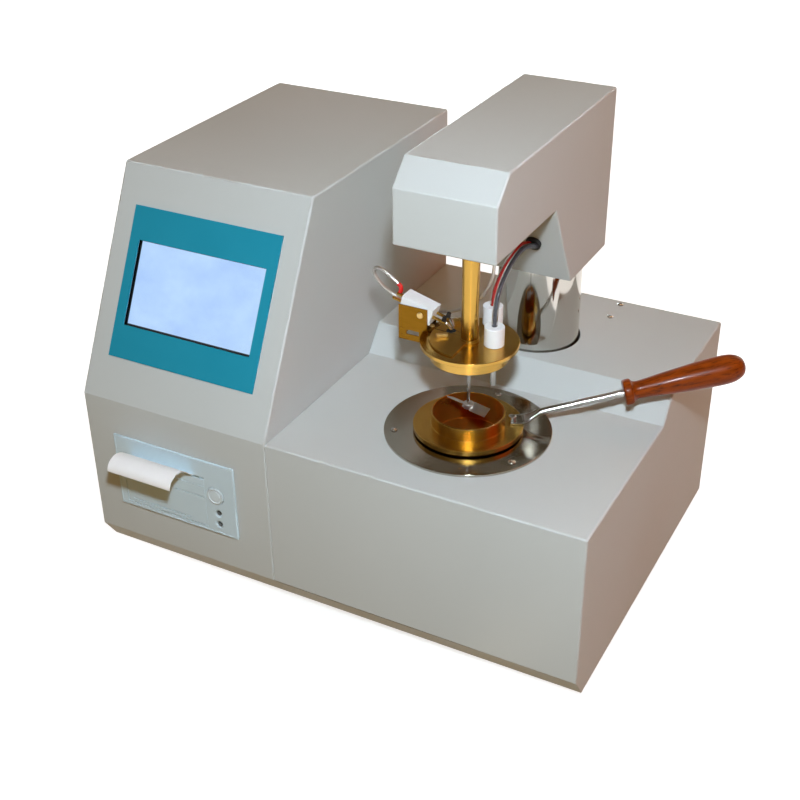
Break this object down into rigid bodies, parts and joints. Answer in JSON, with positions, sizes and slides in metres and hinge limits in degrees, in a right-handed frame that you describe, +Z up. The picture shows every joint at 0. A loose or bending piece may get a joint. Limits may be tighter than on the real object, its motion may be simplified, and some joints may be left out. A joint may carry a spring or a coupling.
{
  "type": "closed cup flash point tester",
  "caption": "Bench instrument that heats a liquid in a closed brass cup and dips an igniter through its lid; console with screen and printer, lifting test head.",
  "frame": {"origin": "under the middle of the whole outline, on the table", "axes": "+Z up, -Y towards the user at the front, +X to the user's right, where the cup's handle points"},
  "size_m": [0.4525, 0.3246, 0.36],
  "materials": {
    "paint": "fine textured powder coat, warm light grey",
    "rubber": "matt black",
    "overlay": "satin printed overlay, teal",
    "display": "pale blue lit display",
    "glass": "clear",
    "printer_plastic": "pale blue grey moulding",
    "button_plastic": "grey",
    "lamp": "clear green",
    "paper": "thermal paper",
    "board": "green board",
    "supply": "plain",
    "polished_plate": "polished stainless steel",
    "brass": "turned",
    "brass_sheet": "bent sheet",
    "well_metal": "cast and turned",
    "heater": "clad band",
    "wool": "mineral wool",
    "steel": "stainless steel",
    "screw_steel": "plated",
    "wood": "varnished, reddish brown",
    "chrome": "polished",
    "alloy": "machined",
    "motor": "black",
    "black_plastic": "black",
    "rocker_plastic": "black",
    "white_block": "white fluoroplastic",
    "dark_lead": "dark grey sheath",
    "red_lead": "red sheath",
    "clear_lead": "pale clear sheath"
  },
  "bodies": {
    "housing": {"base_pan": "paint", "rubber_feet": "rubber", "console_shell": "paint", "base_cover": "paint", "rear_panels": "paint", "screen_panel": "overlay", "screen_glass": "glass", "lcd_module": "display", "printer_bezel": "printer_plastic", "printer_body": "printer_plastic", "paper_roll": "paper", "printer_lamps": "lamp", "paper_strip": "paper", "fan_frame": "black_plastic", "power_entry": "black_plastic", "control_board": "board", "power_supply": "supply", "bath_plate": "polished_plate", "bath_well": "well_metal", "heater_band": "heater", "bath_wool": "wool", "bath_stand": "steel", "cover_screws": "screw_steel", "lift_frame": "steel", "lift_motor": "motor"},
    "head": {"column_cover": "chrome", "lift_carriage": "alloy", "arm_cover": "paint", "arm_frame": "alloy", "stirrer_motor": "motor", "shutter_drive": "motor", "lid_tube": "brass", "lid": "brass", "temperature_probe": "steel", "probe_cap": "white_block", "detector_cap": "white_block", "igniter_bracket": "brass_sheet", "bracket_screws": "brass", "cable_grommet": "rubber", "probe_lead": "dark_lead", "detector_lead": "red_lead", "igniter_lead": "clear_lead"},
    "cup": {"cup": "brass", "handle_rod": "steel", "cup_handle": "wood", "handle_screw": "screw_steel"},
    "shutter": {"shutter": "brass", "shutter_lug": "brass", "shutter_sleeve": "brass"},
    "stirrer": {"stirrer_shaft": "steel", "stirrer_blades": "steel"},
    "igniter": {"igniter_block": "white_block", "igniter_rods": "brass", "igniter_tips": "chrome", "igniter_clamps": "black_plastic"},
    "lift_screw": {"lift_screw": "steel"},
    "printer_door": {"printer_door": "printer_plastic"},
    "feed_button": {"feed_button": "button_plastic"},
    "power_rocker": {"power_rocker": "rocker_plastic"},
    "fan_rotor": {"fan_rotor": "black_plastic"}
  },
  "joints": [
    {"name": "head_lift", "type": "slide", "parent": "housing", "child": "head", "axis": [0, 0, 1], "range_m": [-0.054, 0.04]},
    {"name": "lift_screw_turn", "type": "hinge", "parent": "housing", "child": "lift_screw", "pos_m": [0.05698, 0.07775, 0.033], "axis": [0, 0, 1], "range_deg": [-973, 721]},
    {"name": "cup_lift", "type": "slide", "parent": "housing", "child": "cup", "axis": [0, 0, 1], "range_m": [0, 0.044]},
    {"name": "stirrer_spin", "type": "hinge", "parent": "head", "child": "stirrer", "pos_m": [0.05698, -0.04825, 0.2186], "axis": [0, 0, 1], "continuous": true},
    {"name": "shutter_turn", "type": "hinge", "parent": "head", "child": "shutter", "pos_m": [0.05698, -0.04825, 0.2216], "axis": [0, 0, -1], "range_deg": [0, 30]},
    {"name": "igniter_tilt", "type": "hinge", "parent": "head", "child": "igniter", "pos_m": [0.01998, -0.0435, 0.2331], "axis": [0, -1, 0], "range_deg": [0, 20.01]},
    {"name": "printer_door_hinge", "type": "hinge", "parent": "housing", "child": "printer_door", "pos_m": [-0.15602, -0.13265, 0.0611], "axis": [1, 0, 0], "range_deg": [0, 80]},
    {"name": "feed_button_press", "type": "slide", "parent": "housing", "child": "feed_button", "axis": [0, 1, 0], "range_m": [0, 0.001], "stiffness_N_per_m": 300, "springref_m": -0.0005},
    {"name": "power_rocker_tilt", "type": "hinge", "parent": "housing", "child": "power_rocker", "pos_m": [0.00348, 0.15725, 0.068], "axis": [1, 0, 0], "range_deg": [-8, 8]},
    {"name": "fan_spin", "type": "hinge", "parent": "housing", "child": "fan_rotor", "pos_m": [0.10948, 0.14475, 0.07], "axis": [0, 1, 0], "continuous": true}
  ],
  "couplings": [
    {"joint": "lift_screw_turn", "follows": "head_lift", "rad_per_m": 314.16},
    {"joint": "igniter_tilt", "follows": "shutter_turn", "ratio": 0.6667}
  ]
}
